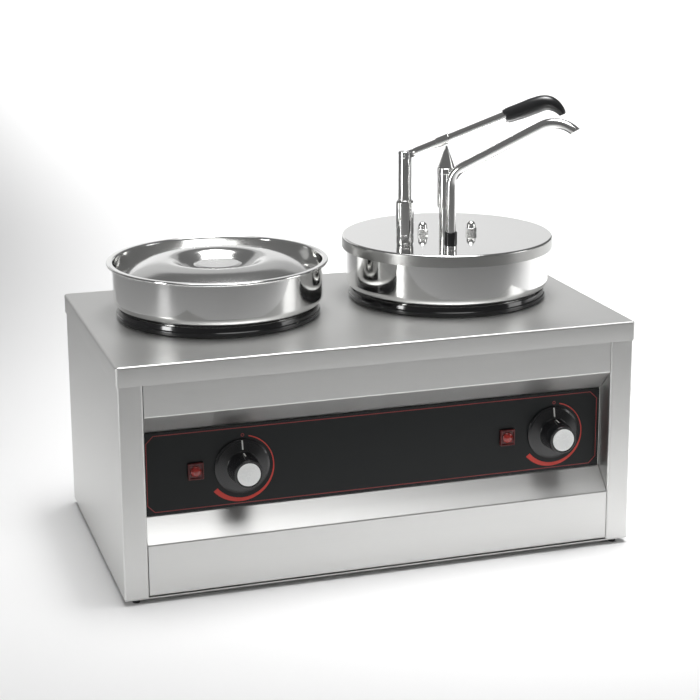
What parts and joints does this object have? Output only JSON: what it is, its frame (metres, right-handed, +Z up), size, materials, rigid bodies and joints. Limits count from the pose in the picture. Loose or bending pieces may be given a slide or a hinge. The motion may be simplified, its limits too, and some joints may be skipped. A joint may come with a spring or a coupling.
{
  "type": "sauce warmer",
  "caption": "Counter-top sauce warmer: a folded steel housing with heated wells, dials and lamps, a pot under a sunken lid, and a pot with a lever pump and a bent spout.",
  "frame": {"origin": "bottom centre of the whole object, on the surface that it stands on", "axes": "+X to the right along the front, +Y to the back, +Z up"},
  "size_m": [0.5, 0.2964, 0.4363],
  "materials": {
    "brushed_sheet": "brushed along the length",
    "polished_steel": "polished stainless steel",
    "inner_steel": "plain stainless steel",
    "fascia_black": "smooth black printed plate",
    "gloss_black": "glossy black moulding",
    "cap_white": "white moulding",
    "lamp_red": "red lens, unlit",
    "foot_rubber": "black rubber",
    "ring_black": "glossy black seal ring",
    "seal_black": "black seal",
    "gland_black": "black plastic",
    "pump_white": "white food-safe plastic",
    "thermostat_casing": "moulded casing",
    "heater_sheath": "dark metal sheath"
  },
  "bodies": {
    "housing": {"base_plate": "inner_steel", "side_panel_left": "brushed_sheet", "side_panel_right": "brushed_sheet", "front_panel": "brushed_sheet", "control_fascia": "fascia_black", "top_panel": "brushed_sheet", "back_panel": "brushed_sheet", "cable_gland": "gland_black", "terminal_block": "pump_white", "foot_front_left": "foot_rubber", "foot_front_right": "foot_rubber", "foot_back_left": "foot_rubber", "foot_back_right": "foot_rubber", "thermostat_left": "thermostat_casing", "thermostat_right": "thermostat_casing", "lamp_bezel_left": "gloss_black", "lamp_bezel_right": "gloss_black", "lamp_left": "lamp_red", "lamp_right": "lamp_red", "pot_ring_left": "ring_black", "pot_ring_right": "ring_black", "well_left": "inner_steel", "well_right": "inner_steel", "heater_left": "heater_sheath", "heater_right": "heater_sheath"},
    "dial_left": {"spindle_left": "inner_steel", "knob_left": "gloss_black", "knob_cap_left": "cap_white"},
    "dial_right": {"spindle_right": "inner_steel", "knob_right": "gloss_black", "knob_cap_right": "cap_white"},
    "left_pot": {"pot_left": "polished_steel"},
    "left_lid": {"pot_lid": "polished_steel", "lid_knob": "polished_steel"},
    "right_pot": {"pot_right": "polished_steel"},
    "pump": {"pump_lid": "polished_steel", "pump_bracket": "inner_steel", "cap_nut_left": "polished_steel", "cap_nut_right": "polished_steel", "post_sleeve": "polished_steel", "pivot_post": "polished_steel", "pivot_pin": "polished_steel", "guide_tube": "polished_steel", "pump_head": "pump_white", "pump_cylinder": "inner_steel", "valve_block": "pump_white", "suction_tube": "inner_steel", "riser_tube": "inner_steel", "return_spring": "inner_steel", "spout_tube": "polished_steel", "spout_bushing": "gloss_black", "spout_ferrule": "polished_steel"},
    "lever": {"lever_arm": "polished_steel", "wear_sleeve": "polished_steel", "lever_grip": "gloss_black"},
    "plunger": {"plunger_cap": "polished_steel", "plunger_rod": "inner_steel", "piston": "pump_white", "piston_seal": "seal_black"}
  },
  "joints": [
    {"name": "dial_left_turn", "type": "hinge", "parent": "housing", "child": "dial_left", "pos_m": [-0.133, -0.1212, 0.115], "axis": [0, 1, 0], "range_deg": [0, 240]},
    {"name": "dial_right_turn", "type": "hinge", "parent": "housing", "child": "dial_right", "pos_m": [0.1755, -0.1212, 0.115], "axis": [0, 1, 0], "range_deg": [0, 240]},
    {"name": "left_pot_lift", "type": "slide", "parent": "housing", "child": "left_pot", "axis": [0, 0, 1], "range_m": [0, 0.17]},
    {"name": "left_lid_lift", "type": "slide", "parent": "left_pot", "child": "left_lid", "axis": [0, 0, 1], "range_m": [0, 0.06]},
    {"name": "right_pot_lift", "type": "slide", "parent": "housing", "child": "right_pot", "axis": [0, 0, 1], "range_m": [0, 0.17]},
    {"name": "pump_lift", "type": "slide", "parent": "right_pot", "child": "pump", "axis": [0, 0, 1], "range_m": [0, 0.2]},
    {"name": "lever_press", "type": "hinge", "parent": "pump", "child": "lever", "pos_m": [0.0602, -0.0183, 0.3743], "axis": [0.5159, 0.8566, 0], "range_deg": [0, 40]},
    {"name": "plunger_press", "type": "slide", "parent": "pump", "child": "plunger", "axis": [0, 0, -1], "range_m": [0, 0.02936], "stiffness_N_per_m": 350, "springref_m": -0.01, "deforming": ["return_spring"]}
  ],
  "couplings": [
    {"joint": "plunger_press", "follows": "lever_press", "m_per_rad": 0.041907}
  ]
}
